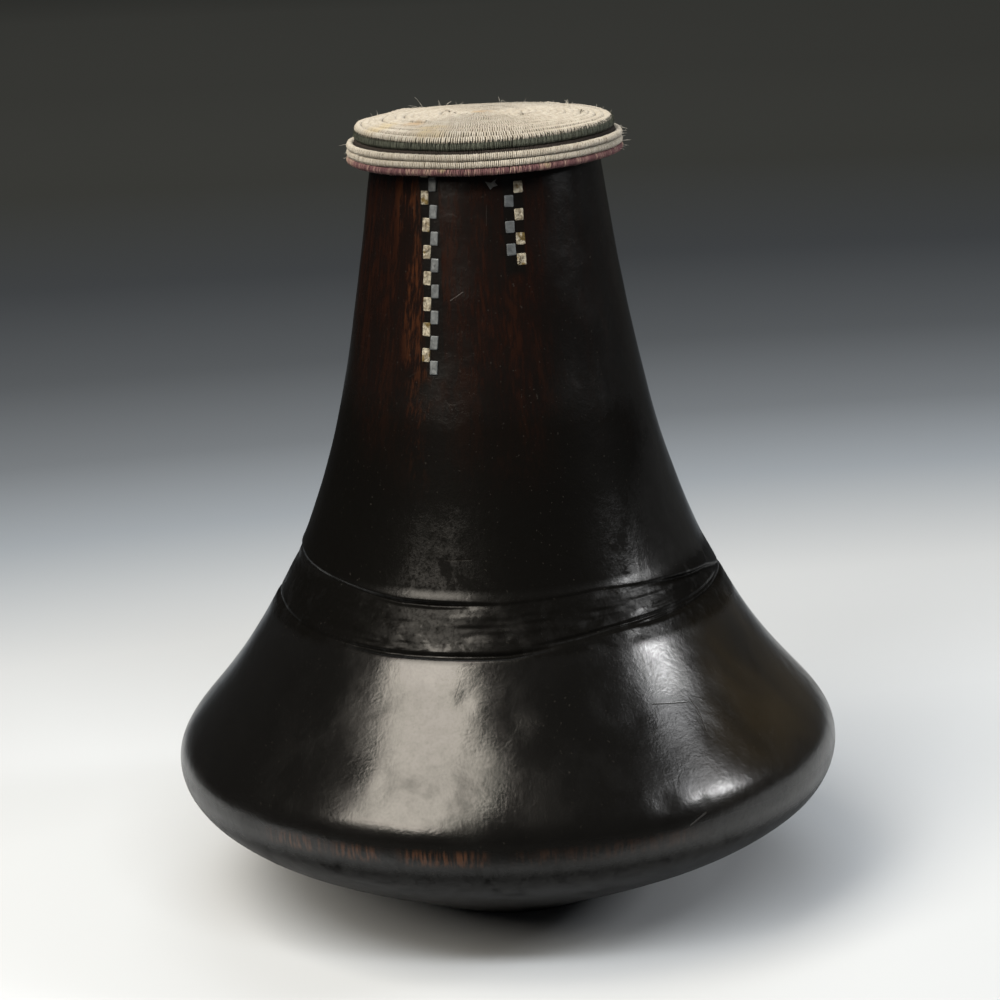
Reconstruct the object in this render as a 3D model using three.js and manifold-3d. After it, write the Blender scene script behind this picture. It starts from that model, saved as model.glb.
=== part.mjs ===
// Carved wooden milk vessel with metal inlays and a coiled basketry lid.
// Millimetres, +Z up, origin under the middle of the foot, front of the vessel towards -Y.

import * as THREE from 'three';
import { ConvexGeometry } from 'three/addons/geometries/ConvexGeometry.js';
import { mergeVertices } from 'three/addons/utils/BufferGeometryUtils.js';
import Module from 'manifold-3d';

// Outline of the carved body, from the foot up to the mouth
const footRadius = 34;
const footRound = 8;
const bellyRadius = 124.4;
const bellyHeight = 59.5;
const bandBottomRadius = 85.9;
const bandBottomHeight = 117;
const bandTopRadius = 76.3;
const bandHeight = 18;
const mouthRadius = 39.9;
const mouthHeight = 293;

// How the outline leaves and meets those stations: handle lengths, and leans from the vertical in degrees
const undersideRise = 26;
const undersideReach = 64.5;
const bellyDrop = 21;
const bellyLift = 17.5;
const shoulderReach = 44;
const shoulderLean = 29.5;
const neckReach = 55.5;
const neckLean = 25.7;
const mouthReach = 20.6;
const mouthLean = 11.6;

// Wood left when the vessel was hollowed out through its mouth
const floorWall = 9.5;
const bellyWall = 9;
const mouthWall = 6.6;
const rimRound = 2.6;

// Tooled band between shoulder and neck
const bandGrooves = 5;
const bandEdgeDepth = 1.2;
const bandGrooveDepth = 0.96;
const bandRidgeDepth = 0.55;

// Metal inlays: hammered pegs let into pockets of the neck
const pocketClearance = 0.3;
const inlayProud = 0.35;
const inlayDepth = 2.6;
const inlayTaper = 0.3;
const inlayEdge = 0.2;
const pocketMouth = 1.6;
const leftRow = {
  count: 16,
  width: 2.75,
  height: 4.6,
  pitch: 4.53,
  columnPitch: 3.1,
  belowMouth: 12.1,
  azimuthTop: -28.9,
  azimuthBottom: -24.9,
  firstSide: -1,
};
const rightRow = {
  count: 7,
  width: 3.15,
  height: 4.0,
  pitch: 4.13,
  columnPitch: 3.5,
  belowMouth: 18.4,
  azimuthTop: 12.6,
  azimuthBottom: 12.0,
  firstSide: 1,
};

// Torn scrap of a lost inlay, its outline seen from the front
const tornInlay = {
  outline: [
    [-2.3, 1.2],
    [-0.2, 0.8],
    [1.8, 2.2],
    [1.1, 0.9],
    [2.0, -0.3],
    [0.4, -0.7],
    [-0.6, -1.6],
    [-1.4, -0.4],
  ],
  belowMouth: 17.2,
  azimuth: 2.8,
  depth: 0.9,
  pocketMargin: 0.45,
};

// Lid: one coil of wrapped fibre that winds out from the middle and down the side
const coilPitch = 2.64;
const coilGap = 0.52;
const lidPlay = 3.65;
const lidRestGap = 0.3;
const crownRise = 3.3;
const crownEdge = 7.5;
const crownDrop = 0.8;
const darkLoops = 2;
const sideLoops = 2;
const rimLoops = 1;
const skirtDrop = 3.1;
const skirtFlare = 0.1;
const spliceGap = 0.3;

// Fineness of the surfaces: facets round the body, points along its outline and its hollow, and the coil's
const latheSegments = 60;
const outlineSteps = { foot: 3, underside: 8, shoulder: 9, neck: 10, lip: 6 };
const hollowSteps = { underside: 5, shoulder: 5, neck: 6 };
const loopSteps = 24;
const coilSides = 6;

// Precision of the measuring along curves
const searchHalvings = 40;
const crownDivisions = 400;

const coilRadius = (coilPitch - coilGap) / 2;
const bandTopHeight = bandBottomHeight + bandHeight;
const radians = THREE.MathUtils.degToRad;

// A curve in the plane of radius and height, with its end handles given as length and lean
function leaning(radius, height, reach, lean) {
  return new THREE.Vector2(radius - reach * Math.sin(radians(lean)), height + reach * Math.cos(radians(lean)));
}

const undersideStart = leaning(footRadius, 0, footRound, undersideRise - 90);
const footRoll = new THREE.QuadraticBezierCurve(
  new THREE.Vector2(footRadius - footRound, 0),
  new THREE.Vector2(footRadius, 0),
  undersideStart,
);
const underside = new THREE.CubicBezierCurve(
  undersideStart,
  leaning(footRadius, 0, undersideReach, undersideRise - 90),
  new THREE.Vector2(bellyRadius, bellyHeight - bellyDrop),
  new THREE.Vector2(bellyRadius, bellyHeight),
);
const shoulder = new THREE.CubicBezierCurve(
  new THREE.Vector2(bellyRadius, bellyHeight),
  new THREE.Vector2(bellyRadius, bellyHeight + bellyLift),
  leaning(bandBottomRadius, bandBottomHeight, -shoulderReach, shoulderLean),
  new THREE.Vector2(bandBottomRadius, bandBottomHeight),
);
const neckTopHeight = mouthHeight - rimRound;
const neck = new THREE.CubicBezierCurve(
  new THREE.Vector2(bandTopRadius, bandTopHeight),
  leaning(bandTopRadius, bandTopHeight, neckReach, neckLean),
  leaning(mouthRadius, neckTopHeight, -mouthReach, mouthLean),
  new THREE.Vector2(mouthRadius, neckTopHeight),
);

// The fraction along a curve where its x or y, which rises all the way, reaches a value
function fractionWhere(curve, axis, value) {
  let low = 0;
  let high = 1;
  for (let halving = 0; halving < searchHalvings; halving += 1) {
    const middle = (low + high) / 2;
    if (curve.getPoint(middle)[axis] < value) low = middle;
    else high = middle;
  }
  return low;
}

// Tool grooves across the band, deepest at its two edges, under the lip of the neck
function bandPoints() {
  const points = [];
  const last = 2 * bandGrooves;
  for (let step = 0; step <= last; step += 1) {
    const along = (step + 0.5) / (last + 1);
    const ridge = step % 2 === 1;
    const radius = THREE.MathUtils.lerp(bandBottomRadius, bandTopRadius, along);
    const edge = step === 0 || step === last;
    const grooveDepth = edge ? bandEdgeDepth : bandGrooveDepth;
    const depth = ridge ? bandRidgeDepth : grooveDepth;
    points.push(new THREE.Vector2(radius - depth, bandBottomHeight + along * bandHeight));
  }
  return points;
}

// Points of the hollow: the outline moved inwards by the thickness of the wood
function hollowPoints(curve, steps, wallStart, wallEnd) {
  const points = [];
  for (let step = 0; step <= steps; step += 1) {
    const along = step / steps;
    const tangent = curve.getTangent(along);
    const wall = THREE.MathUtils.lerp(wallStart, wallEnd, along);
    const inward = new THREE.Vector2(-tangent.y, tangent.x).multiplyScalar(wall);
    points.push(curve.getPoint(along).add(inward));
  }
  return points;
}

// Rounded lip of the mouth, from its outer to its inner side
function lipPoints() {
  const crest = mouthRadius - mouthWall / 2;
  const points = [];
  for (let step = 1; step < outlineSteps.lip; step += 1) {
    const turn = (step / outlineSteps.lip) * Math.PI;
    const radius = crest + (mouthWall / 2) * Math.cos(turn);
    points.push(new THREE.Vector2(radius, neckTopHeight + rimRound * Math.sin(turn)));
  }
  return points;
}

function vesselProfile() {
  const bandWall = (bellyWall + mouthWall) / 2;
  const hollow = [
    ...hollowPoints(underside, hollowSteps.underside, floorWall, bellyWall),
    ...hollowPoints(shoulder, hollowSteps.shoulder, bellyWall, bandWall).slice(1),
    ...hollowPoints(neck, hollowSteps.neck, bandWall, mouthWall),
  ];
  return [
    new THREE.Vector2(0, 0),
    ...footRoll.getPoints(outlineSteps.foot),
    ...underside.getPoints(outlineSteps.underside).slice(1),
    ...shoulder.getPoints(outlineSteps.shoulder).slice(1),
    ...bandPoints(),
    ...neck.getPoints(outlineSteps.neck),
    ...lipPoints(),
    ...hollow.reverse(),
    new THREE.Vector2(0, hollow[hollow.length - 1].y),
  ];
}

// Where a point of the neck's surface lies, with X to the right, Y up the neck and Z out of the wood
function neckFrame(height, azimuth) {
  const along = fractionWhere(neck, 'y', height);
  const surface = neck.getPoint(along);
  const slope = neck.getTangent(along);
  const turn = radians(azimuth);
  const out = new THREE.Vector3(Math.sin(turn), -Math.cos(turn), 0);
  const up = out.clone().multiplyScalar(slope.x).setZ(slope.y).normalize();
  const right = new THREE.Vector3(Math.cos(turn), Math.sin(turn), 0);
  const normal = new THREE.Vector3().crossVectors(right, up);
  const frame = new THREE.Matrix4().makeBasis(right, up, normal);
  return frame.setPosition(out.multiplyScalar(surface.x).setZ(surface.y));
}

// A tapered peg with a chamfered face at Z = proud; grow widens it on every side and deepens it
function peg(width, height, depth, proud, grow) {
  const sections = [
    [proud, inlayEdge],
    [proud - inlayEdge, 0],
    [-depth - grow, inlayTaper],
  ];
  const corners = [];
  for (const [level, inset] of sections) {
    const x = width / 2 + grow - inset;
    const y = height / 2 + grow - inset;
    corners.push(new THREE.Vector3(-x, -y, level), new THREE.Vector3(x, -y, level));
    corners.push(new THREE.Vector3(x, y, level), new THREE.Vector3(-x, y, level));
  }
  return new ConvexGeometry(corners);
}

// A pocket is the same peg, wider and deeper by the clearance and open to the outside
function pegPocket(width, height) {
  return peg(width, height, inlayDepth, pocketMouth, pocketClearance);
}

function tornShape(margin) {
  const points = tornInlay.outline.map(([x, y]) => {
    const point = new THREE.Vector2(x, y);
    return point.setLength(point.length() + margin);
  });
  return new THREE.Shape(points);
}

function tornSheet(bottom, top, margin) {
  const options = { depth: top - bottom, bevelEnabled: false };
  return new THREE.ExtrudeGeometry(tornShape(margin), options).translate(0, 0, bottom);
}

// Two columns of pegs set chequerwise down the neck
function inlayPlaces(row) {
  const places = [];
  for (let index = 0; index < row.count; index += 1) {
    const azimuth = THREE.MathUtils.lerp(row.azimuthTop, row.azimuthBottom, index / (row.count - 1));
    const frame = neckFrame(mouthHeight - row.belowMouth - index * row.pitch, azimuth);
    const side = index % 2 === 0 ? row.firstSide : -row.firstSide;
    places.push(frame.multiply(new THREE.Matrix4().makeTranslation((side * row.columnPitch) / 2, 0, 0)));
  }
  return places;
}

// A tube of wrapped fibre through a run of centres; each ring stands square to the turn of the coil
function coilGeometry(centres) {
  const vertices = [];
  for (const centre of centres) {
    const out = new THREE.Vector3(centre.x, centre.y, 0).normalize();
    for (let side = 0; side < coilSides; side += 1) {
      const turn = (side / coilSides) * 2 * Math.PI;
      const spoke = out.clone().multiplyScalar(coilRadius * Math.cos(turn));
      vertices.push(...spoke.setZ(-coilRadius * Math.sin(turn)).add(centre).toArray());
    }
  }
  const faces = [];
  for (let ring = 0; ring < centres.length - 1; ring += 1) {
    for (let side = 0; side < coilSides; side += 1) {
      const a = ring * coilSides + side;
      const b = ring * coilSides + ((side + 1) % coilSides);
      faces.push(a, b + coilSides, b, a, a + coilSides, b + coilSides);
    }
  }
  const end = (centres.length - 1) * coilSides;
  for (let side = 1; side < coilSides - 1; side += 1) {
    faces.push(0, side, side + 1, end, end + side + 1, end + side);
  }
  const geometry = new THREE.BufferGeometry();
  geometry.setAttribute('position', new THREE.Float32BufferAttribute(vertices, 3));
  geometry.setIndex(faces);
  geometry.computeVertexNormals();
  return geometry;
}

// Centres of a coil whose place in section depends on the turns it has made, counted from the back.
// Seen from above it winds clockwise on its way out.
function coilCentres(firstTurn, lastTurn, sectionAt) {
  const turns = [];
  for (let step = 0; step < (lastTurn - firstTurn) * loopSteps; step += 1) {
    turns.push(firstTurn + step / loopSteps);
  }
  turns.push(lastTurn - spliceGap / (2 * Math.PI * sectionAt(lastTurn).x));
  return turns.map((turn) => {
    const { x: radius, y: height } = sectionAt(turn);
    const angle = Math.PI / 2 - turn * 2 * Math.PI;
    return new THREE.Vector3(radius * Math.cos(angle), radius * Math.sin(angle), height);
  });
}

// The least gap between the turns of one coil, from the distances between the points on its turns
function leastGap(centres) {
  let least = Infinity;
  for (let i = 0; i < centres.length; i += 1) {
    for (let j = i + loopSteps / 2; j < centres.length; j += 1) {
      least = Math.min(least, centres[i].distanceTo(centres[j]));
    }
  }
  return least - 2 * coilRadius;
}

// Half section of the lid: a low crown that rounds over into an upright wall, with the wall's top at height 0.
// The skirt starts a little below the wall's top, and covers the neck down to its own end.
const skirtDepth = skirtDrop + (sideLoops + rimLoops) * coilPitch;
const neckAtSkirt = neck.getPoint(fractionWhere(neck, 'y', mouthHeight - skirtDepth)).x;
const lidWallRadius = neckAtSkirt + lidPlay + coilRadius;
const crown = new THREE.CubicBezierCurve(
  new THREE.Vector2(0, crownRise),
  new THREE.Vector2(lidWallRadius - crownEdge, crownRise),
  new THREE.Vector2(lidWallRadius, crownDrop),
  new THREE.Vector2(lidWallRadius, 0),
);
crown.arcLengthDivisions = crownDivisions;
const crownLength = crown.getLength() - coilPitch / 2;
const crownLoops = Math.floor(crownLength / coilPitch);

// The lid's inner run of coil: out from the middle over the crown, then straight down
function crownSection(turn) {
  const along = coilPitch / 2 + (turn / crownLoops) * crownLength;
  return crown.getPointAt(Math.min(1, along / crown.getLength()));
}

function wallSection(turn) {
  return new THREE.Vector2(lidWallRadius, -turn * coilPitch);
}

// Its outer run, one coil further out, which hangs below the crown and flares a little
function skirtSection(turn) {
  return new THREE.Vector2(lidWallRadius + coilPitch + turn * skirtFlare, -skirtDrop - turn * coilPitch);
}

// The crown lies on the lip of the mouth
const lipCrest = mouthRadius - mouthWall / 2;
const crownAtLip = crown.getPoint(fractionWhere(crown, 'x', lipCrest)).y;
const lidHeight = mouthHeight + lidRestGap + coilRadius - crownAtLip;

const colours = {
  darkWood: { color: 0x1d1410, roughness: 0.3, metalness: 0 },
  greyMetal: { color: 0x7d8085, roughness: 0.45, metalness: 0.9 },
  paleMetal: { color: 0xa39a80, roughness: 0.6, metalness: 0.7 },
  creamFibre: { color: 0xd6cdb4, roughness: 0.85, metalness: 0 },
  darkFibre: { color: 0x2e3128, roughness: 0.85, metalness: 0 },
  maroonFibre: { color: 0x8d5a5a, roughness: 0.9, metalness: 0 },
};

function named(name, geometry, finish) {
  const mesh = new THREE.Mesh(geometry, new THREE.MeshStandardMaterial(finish));
  mesh.name = name;
  return mesh;
}

// Every inlay with its name, its frame on the neck, its own solid and the pocket it sits in
function inlays() {
  const pieces = [];
  const rows = { left_inlay: leftRow, right_inlay: rightRow };
  for (const [prefix, row] of Object.entries(rows)) {
    inlayPlaces(row).forEach((place, index) => {
      pieces.push({
        name: `${prefix}_${String(index + 1).padStart(2, '0')}`,
        finish: index % 2 === 0 ? colours.paleMetal : colours.greyMetal,
        place,
        solid: peg(row.width, row.height, inlayDepth, inlayProud, 0),
        pocket: pegPocket(row.width, row.height),
      });
    });
  }
  const { depth, pocketMargin, azimuth, belowMouth } = tornInlay;
  pieces.push({
    name: 'torn_inlay',
    finish: colours.greyMetal,
    place: neckFrame(mouthHeight - belowMouth, azimuth),
    solid: tornSheet(-depth, inlayProud, 0),
    pocket: tornSheet(-depth - pocketClearance, pocketMouth, pocketMargin),
  });
  return pieces;
}

// A closed mesh as a solid that can be cut
function toSolid(library, geometry) {
  const bare = geometry.clone();
  bare.deleteAttribute('normal');
  bare.deleteAttribute('uv');
  const merged = mergeVertices(bare);
  const corners = merged.index.array;
  const faces = [];
  for (let i = 0; i < corners.length; i += 3) {
    const [a, b, c] = corners.slice(i, i + 3);
    if (a !== b && b !== c && c !== a) faces.push(a, b, c);
  }
  const vertProperties = Float32Array.from(merged.attributes.position.array);
  const triVerts = Uint32Array.from(faces);
  return new library.Manifold(new library.Mesh({ numProp: 3, vertProperties, triVerts }));
}

function toGeometry(solid) {
  const { vertProperties, triVerts } = solid.getMesh();
  const geometry = new THREE.BufferGeometry();
  geometry.setAttribute('position', new THREE.Float32BufferAttribute(vertProperties, 3));
  geometry.setIndex(new THREE.Uint32BufferAttribute(triVerts, 1));
  geometry.computeVertexNormals();
  return geometry;
}

// The carved body: the hollow turned form, less a pocket for every inlay
async function carvedBody(pieces) {
  const library = await Module();
  library.setup();
  const lathed = new THREE.LatheGeometry(vesselProfile(), latheSegments).rotateX(Math.PI / 2);
  let body = toSolid(library, lathed);
  for (const { place, pocket } of pieces) {
    body = body.subtract(toSolid(library, pocket.applyMatrix4(place)));
  }
  return toGeometry(body);
}

async function vesselGroup() {
  const group = new THREE.Group();
  const pieces = inlays();
  group.add(named('vessel', await carvedBody(pieces), colours.darkWood));
  for (const { name, solid, finish, place } of pieces) {
    const mesh = named(name, solid, finish);
    mesh.applyMatrix4(place);
    group.add(mesh);
  }
  return group;
}

function lidGroup() {
  const group = new THREE.Group();
  group.position.z = lidHeight;
  const coils = [
    ['lid_crown_coil', colours.creamFibre, coilCentres(0, crownLoops, crownSection)],
    ['lid_dark_coil', colours.darkFibre, coilCentres(0, darkLoops, wallSection)],
    ['lid_side_coil', colours.creamFibre, coilCentres(0, sideLoops, skirtSection)],
    ['lid_rim_coil', colours.maroonFibre, coilCentres(sideLoops, sideLoops + rimLoops, skirtSection)],
  ];
  for (const [name, finish, centres] of coils) {
    group.add(named(name, coilGeometry(centres), finish));
    console.log(`${name}: least gap between turns ${leastGap(centres).toFixed(2)} mm`);
  }
  return group;
}

const milkVessel = new THREE.Group();
milkVessel.add(await vesselGroup(), lidGroup());

export default milkVessel;
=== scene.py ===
# Carved wooden milk vessel: blackened wood, two rows of metal inlays and a coiled fibre lid.
# Metres, +Z up. The front, with the inlays, faces -Y; azimuths run from there towards +X.

import math
from types import SimpleNamespace

import bpy
import numpy as np
from mathutils import Matrix, Vector


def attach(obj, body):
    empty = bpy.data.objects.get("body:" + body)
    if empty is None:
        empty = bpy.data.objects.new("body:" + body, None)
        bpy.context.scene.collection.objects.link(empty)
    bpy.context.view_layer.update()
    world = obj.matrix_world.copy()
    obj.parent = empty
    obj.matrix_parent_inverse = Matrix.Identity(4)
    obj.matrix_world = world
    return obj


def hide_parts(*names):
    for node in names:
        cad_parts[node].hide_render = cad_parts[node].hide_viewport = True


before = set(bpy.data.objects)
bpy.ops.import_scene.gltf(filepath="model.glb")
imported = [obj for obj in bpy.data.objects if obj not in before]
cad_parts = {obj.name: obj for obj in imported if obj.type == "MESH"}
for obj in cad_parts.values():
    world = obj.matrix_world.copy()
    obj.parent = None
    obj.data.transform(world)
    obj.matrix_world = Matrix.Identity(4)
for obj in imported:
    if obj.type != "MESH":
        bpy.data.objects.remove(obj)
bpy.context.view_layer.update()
print("frame loaded:", len(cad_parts), "nodes")

mm = 0.001


# Shader and geometry trees

class Field:
    # a socket of a node tree; arithmetic on it adds Math nodes
    def __init__(self, tree, socket):
        self.tree, self.socket = tree, socket

    def math(self, operation, *others, first=False):
        values = [*others, self] if first else [self, *others]
        return self.tree.node("ShaderNodeMath", {"operation": operation}, dict(enumerate(values)))

    def __add__(self, other):
        return self.math("ADD", other)

    def __sub__(self, other):
        return self.math("SUBTRACT", other)

    def __rsub__(self, other):
        return self.math("SUBTRACT", other, first=True)

    def __mul__(self, other):
        return self.math("MULTIPLY", other)

    def __truediv__(self, other):
        return self.math("DIVIDE", other)


class Tree:
    # a node tree with one way to add a node: its type, its settings, then its sockets
    def __init__(self, nodeTree):
        self.nodeTree = nodeTree
        self.nodeTree.nodes.clear()

    def node(self, kind, settings=None, sockets=None, output=0):
        made = self.nodeTree.nodes.new(kind)
        for name, value in (settings or {}).items():
            if name == "stops":
                elements = made.color_ramp.elements
                while len(elements) < len(value):
                    elements.new(0.5)
                for element, (position, colour) in zip(elements, value):
                    element.position, element.color = position, (*colour, 1)
            else:
                setattr(made, name, value)
        for name, value in (sockets or {}).items():
            if isinstance(value, Field):
                self.nodeTree.links.new(value.socket, made.inputs[name])
            else:
                made.inputs[name].default_value = value
        return Field(self, made.outputs[output]) if made.outputs else made

    # the nodes used most
    def coordinates(self, scale=(1, 1, 1)):
        place = self.node("ShaderNodeTexCoord", output="Object")
        return self.node("ShaderNodeMapping", {"vector_type": "POINT"}, {"Vector": place, "Scale": scale})

    def vector(self, operation, *values, output=0):
        return self.node("ShaderNodeVectorMath", {"operation": operation}, dict(enumerate(values)), output)

    def axes(self, vector):
        split = self.node("ShaderNodeSeparateXYZ", None, {0: vector})
        return [Field(self, socket) for socket in split.socket.node.outputs]

    def combine(self, x, y, z=0.0):
        return self.node("ShaderNodeCombineXYZ", None, {0: x, 1: y, 2: z})

    def noise(self, scale, detail=2.0, roughness=0.5, distortion=0.0, stretch=(1, 1, 1)):
        sockets = {"Vector": self.coordinates(stretch), "Scale": scale, "Detail": detail}
        sockets.update({"Roughness": roughness, "Distortion": distortion})
        return self.node("ShaderNodeTexNoise", None, sockets, "Fac")

    def between(self, value, low, high, start=0.0, end=1.0):
        sockets = {0: value, 1: low, 2: high, 3: start, 4: end}
        return self.node("ShaderNodeMapRange", {"interpolation_type": "SMOOTHSTEP"}, sockets)

    def window(self, value, rise, fall):
        # each side of the window is given from where it is 0 to where it is 1
        return self.between(value, *rise) * self.between(value, *fall)

    def mix(self, factor, first, second):
        settings = {"data_type": "RGBA", "blend_type": "MIX"}
        full = [(*c, 1) if isinstance(c, tuple) else c for c in (first, second)]
        return self.node("ShaderNodeMix", settings, {0: factor, 6: full[0], 7: full[1]}, 2)

    def near(self, point, radius):
        # 1 close to a point given in millimetres, fading to 0 at the radius
        away = self.vector("DISTANCE", self.coordinates(), tuple(v * mm for v in point), output="Value")
        return self.between(away, radius * 0.4 * mm, radius * mm, 1.0, 0.0)

    def bump(self, height, distance, strength):
        sockets = {"Height": height, "Distance": distance, "Strength": strength}
        return self.node("ShaderNodeBump", None, sockets)


def newMaterial(name):
    material = bpy.data.materials.new(name)
    material.use_nodes = True
    return material, Tree(material.node_tree)


def finishMaterial(tree, **sockets):
    names = {name.replace("_", " "): value for name, value in sockets.items()}
    shader = tree.node("ShaderNodeBsdfPrincipled", None, names)
    tree.node("ShaderNodeOutputMaterial", None, {"Surface": shader})


# Meshes

def around(radius, turn, height):
    # points round the axis, by their turn in radians from the front
    return np.stack([radius * np.sin(turn), -radius * np.cos(turn), height], axis=-1)


def ringFaces(start, count, rings):
    # quads between rings that follow one another
    faces = []
    for low in range(start, start + (rings - 1) * count, count):
        for k in range(count):
            n = (k + 1) % count
            faces.append((low + k, low + n, low + count + n, low + count + k))
    return faces


def fan(centre, start, count, under=False):
    # triangles from one ring to its centre, seen from above or from under it
    faces = [(centre, start + k, start + (k + 1) % count) for k in range(count)]
    return [face[::-1] for face in faces] if under else faces


def smoothMesh(name, points, faces, material):
    mesh = bpy.data.meshes.new(name)
    mesh.from_pydata(np.asarray(points).tolist(), [], faces)
    mesh.update()
    mesh.shade_smooth()
    mesh.materials.append(material)
    return mesh


def plainMesh(carrier):
    # the evaluated result of a curve or a modifier as a mesh of its own
    bpy.context.scene.collection.objects.link(carrier)
    bpy.context.view_layer.update()
    evaluated = carrier.evaluated_get(bpy.context.evaluated_depsgraph_get())
    mesh = bpy.data.meshes.new_from_object(evaluated)
    carrier.modifiers.clear()
    bpy.data.objects.remove(carrier)
    return mesh


def place(name, mesh, body, *nodes, slot=None):
    # a finished piece: at the origin, riding on its body, standing for its nodes
    piece = bpy.data.objects.new(name, mesh)
    bpy.context.scene.collection.objects.link(piece)
    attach(piece, body)
    if nodes:
        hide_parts(*nodes)


# Camera, at the photograph's angle

cameraView = {
    "location": (0.00058, -1.00669, 0.40846),
    "pitchDown": 14.305,
    "roll": -2.236,
    "lens": 100,
    "sensor": 36,
}


def makeCamera():
    data = bpy.data.cameras.new("camera")
    data.lens, data.sensor_width = cameraView["lens"], cameraView["sensor"]
    data.clip_end = 100
    camera = bpy.data.objects.new("camera", data)
    bpy.context.scene.collection.objects.link(camera)
    tilt = Matrix.Rotation(math.radians(90 - cameraView["pitchDown"]), 4, "X")
    roll = Matrix.Rotation(math.radians(cameraView["roll"]), 4, "Z")
    camera.matrix_world = Matrix.Translation(cameraView["location"]) @ tilt @ roll
    bpy.context.scene.camera = camera


makeCamera()
print("camera placed")


# Floor and studio lights

studio = {
    "floorSize": 16.0,
    # painted light falloff: the paper is painted darker in ovals round this centre, standing for the lamps'
    # light fading away: metres, how pale, and the tint there
    "paintedFalloffCentre": (0.6, -0.4, 0),
    "paintedFalloffSqueeze": (0.6, 1, 1),
    "floorPaintedFalloff": [
        (0.3, 0.48, "near"), (0.66, 0.59, "near"), (0.86, 0.50, "near"), (1.07, 0.295, "middle"),
        (1.25, 0.168, "middle"), (1.5, 0.097, "middle"), (1.9, 0.063, "middle"), (2.5, 0.069, "far"),
        (3.6, 0.13, "far"), (5.0, 0.24, "far"),
    ],
    # tints of the painted light falloff, near, middle and far
    "floorPaintedFalloffTints": {"near": (0.97, 1.005, 1.04), "middle": (0.905, 1.0, 1.115), "far": (1.0, 1.04, 0.965)},
    # the paper ends in front of the vessel and to its left, out of the camera's sight; beyond it the floor is
    # painted near black, a painted shade for the vessel's underside to mirror
    "frontEdge": (-0.21, -0.15),
    "leftEdge": (-0.42, -0.29),
    "leftEdgeSlant": 0.18,
    "paintedDarkBeyondEdge": (0.03, 0.03, 0.03),
    # softboxes: azimuth, elevation, width, height, power and colour
    "softboxes": {
        "key_window": (-42.6, 45.5, 1.38, 1.96, 84.0, (1.0, 0.92, 0.80)),
        "side_window": (79.5, 32, 0.64, 0.95, 10.5, (0.97, 0.98, 1.0)),
        "side_core": (78.3, 27, 0.38, 0.42, 15.0, (1.0, 1.0, 1.0)),
        "overhead": (175, 72, 1.4, 1.4, 12.0, (0.93, 0.97, 1.0)),
        "pale_wall": (126, 8, 2.6, 1.6, 0.6, (1.0, 1.0, 0.97)),
        "front_fill": (-3, 45, 2.4, 0.3, 51.0, (0.97, 0.99, 1.0)),
    },
    "notMirrored": "front_fill",
    "softboxDistance": 2.4,
    "softboxTarget": (0, 0, 0.1),
    "air": 0.04,
}


def makeFloor():
    bpy.ops.mesh.primitive_plane_add(size=studio["floorSize"])
    floor = bpy.context.object
    floor.name = "floor"
    material, tree = newMaterial("paper_painted_falloff")
    away = tree.vector("SUBTRACT", tree.coordinates(), studio["paintedFalloffCentre"])
    away = tree.vector("MULTIPLY", away, studio["paintedFalloffSqueeze"])
    distance = tree.vector("LENGTH", away, output="Value")
    falloffTones, falloffTints = studio["floorPaintedFalloff"], studio["floorPaintedFalloffTints"]
    reach = falloffTones[-1][0]
    stops = [(metres / reach, tuple(pale * c for c in falloffTints[tint])) for metres, pale, tint in falloffTones]
    # painted light falloff: the floor's colour darkens and changes tint with distance from the centre
    paper = tree.node("ShaderNodeValToRGB", {"stops": stops}, {"Fac": distance / reach})
    x, y, _ = tree.axes(tree.coordinates())
    slanted = x + y * studio["leftEdgeSlant"]
    onPaper = tree.between(y, *studio["frontEdge"]) * tree.between(slanted, *studio["leftEdge"])
    # painted shade: near black beyond the paper's front and left edges
    paper = tree.mix(onPaper, studio["paintedDarkBeyondEdge"], paper)
    finishMaterial(tree, Base_Color=paper, Roughness=0.9, Specular_IOR_Level=0.1)
    floor.data.materials.append(material)


def softbox(name, azimuth, elevation, width, height, power, colour):
    # a rectangular light that looks at the middle of the vessel
    data = bpy.data.lights.new(name, "AREA")
    data.shape, data.size, data.size_y = "RECTANGLE", width, height
    data.energy, data.color = power, colour
    light = bpy.data.objects.new(name, data)
    bpy.context.scene.collection.objects.link(light)
    rise = math.radians(elevation)
    away = Vector(around(math.cos(rise), math.radians(azimuth), math.sin(rise)))
    light.location = Vector(studio["softboxTarget"]) + away * studio["softboxDistance"]
    light.rotation_mode = "QUATERNION"
    light.rotation_quaternion = away.to_track_quat("Z", "Y")
    light.visible_camera = False
    light.visible_glossy = name != studio["notMirrored"]


def makeStudio():
    makeFloor()
    for name, values in studio["softboxes"].items():
        softbox(name, *values)
    world = bpy.data.worlds.new("studio_air")
    world.use_nodes = True
    bpy.context.scene.world = world
    air = world.node_tree.nodes["Background"]
    air.inputs["Color"].default_value = (studio["air"],) * 3 + (1,)
    bpy.context.scene.view_settings.view_transform = "Standard"
    bpy.context.scene.view_settings.look = "None"


makeStudio()
print("studio lit")


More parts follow.
